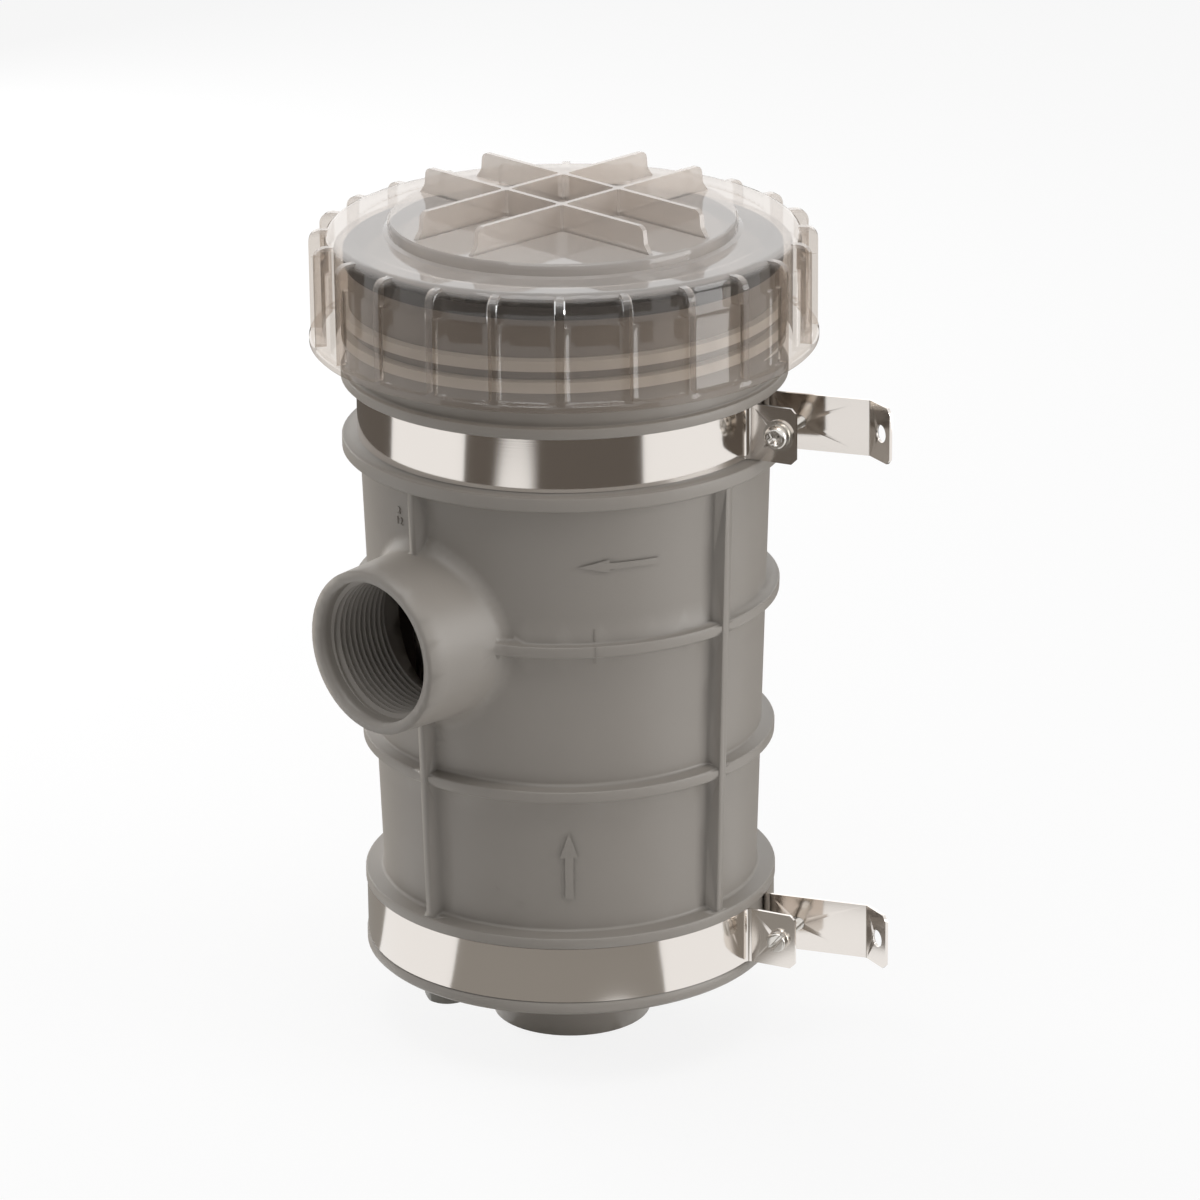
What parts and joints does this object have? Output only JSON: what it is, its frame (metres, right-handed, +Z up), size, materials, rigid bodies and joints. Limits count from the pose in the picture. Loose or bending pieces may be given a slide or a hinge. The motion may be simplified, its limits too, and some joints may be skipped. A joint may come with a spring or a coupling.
{
  "type": "sea water strainer",
  "caption": "Upright cylindrical sea water strainer with a clear screw lid, an inner basket, threaded bottom and side ports, a drain plug and two clamp brackets.",
  "frame": {"origin": "centre of the inlet's mouth, where the bottom port ends", "axes": "+Z up along the housing's axis towards the lid; the side outlet points along -X; the clamps' arms reach out towards -Y and +X"},
  "size_m": [0.1768, 0.1922, 0.2914],
  "materials": {
    "grey_plastic": "moulded, satin",
    "clear_plastic": "clear, glossy",
    "black_rubber": "smooth",
    "basket_plastic": "moulded, satin",
    "dark_plastic": "moulded, satin",
    "stainless_strip": "polished stainless strip",
    "stainless_fastener": "plain stainless"
  },
  "bodies": {
    "strainer": {"housing": "grey_plastic", "basket": "basket_plastic", "upper_clamp": "stainless_strip", "upper_clamp_screw": "stainless_fastener", "upper_clamp_washer": "stainless_fastener", "upper_clamp_nut": "stainless_fastener", "lower_clamp": "stainless_strip", "lower_clamp_screw": "stainless_fastener", "lower_clamp_nut": "stainless_fastener"},
    "lid_rise": {"lid_seal": "black_rubber"},
    "lid": {"lid": "clear_plastic"},
    "drain_fall": {"drain_plug_seal": "black_rubber"},
    "drain": {"drain_plug": "dark_plastic"}
  },
  "joints": [
    {"name": "lid_lift", "type": "slide", "parent": "strainer", "child": "lid_rise", "axis": [0, 0, 1], "range_m": [0, 0.018]},
    {"name": "lid_turn", "type": "hinge", "parent": "lid_rise", "child": "lid", "pos_m": [0, 0, 0.2727], "axis": [0, 0, 1], "range_deg": [0, 900]},
    {"name": "drain_drop", "type": "slide", "parent": "strainer", "child": "drain_fall", "axis": [0, 0, -1], "range_m": [0, 0.008]},
    {"name": "drain_turn", "type": "hinge", "parent": "drain_fall", "child": "drain", "pos_m": [-0.04909, 0.01142, 0.0209], "axis": [0, 0, -1], "range_deg": [0, 1920]}
  ],
  "couplings": [
    {"joint": "lid_turn", "follows": "lid_lift", "rad_per_m": 872.6},
    {"joint": "drain_turn", "follows": "drain_drop", "rad_per_m": 4188.7}
  ]
}
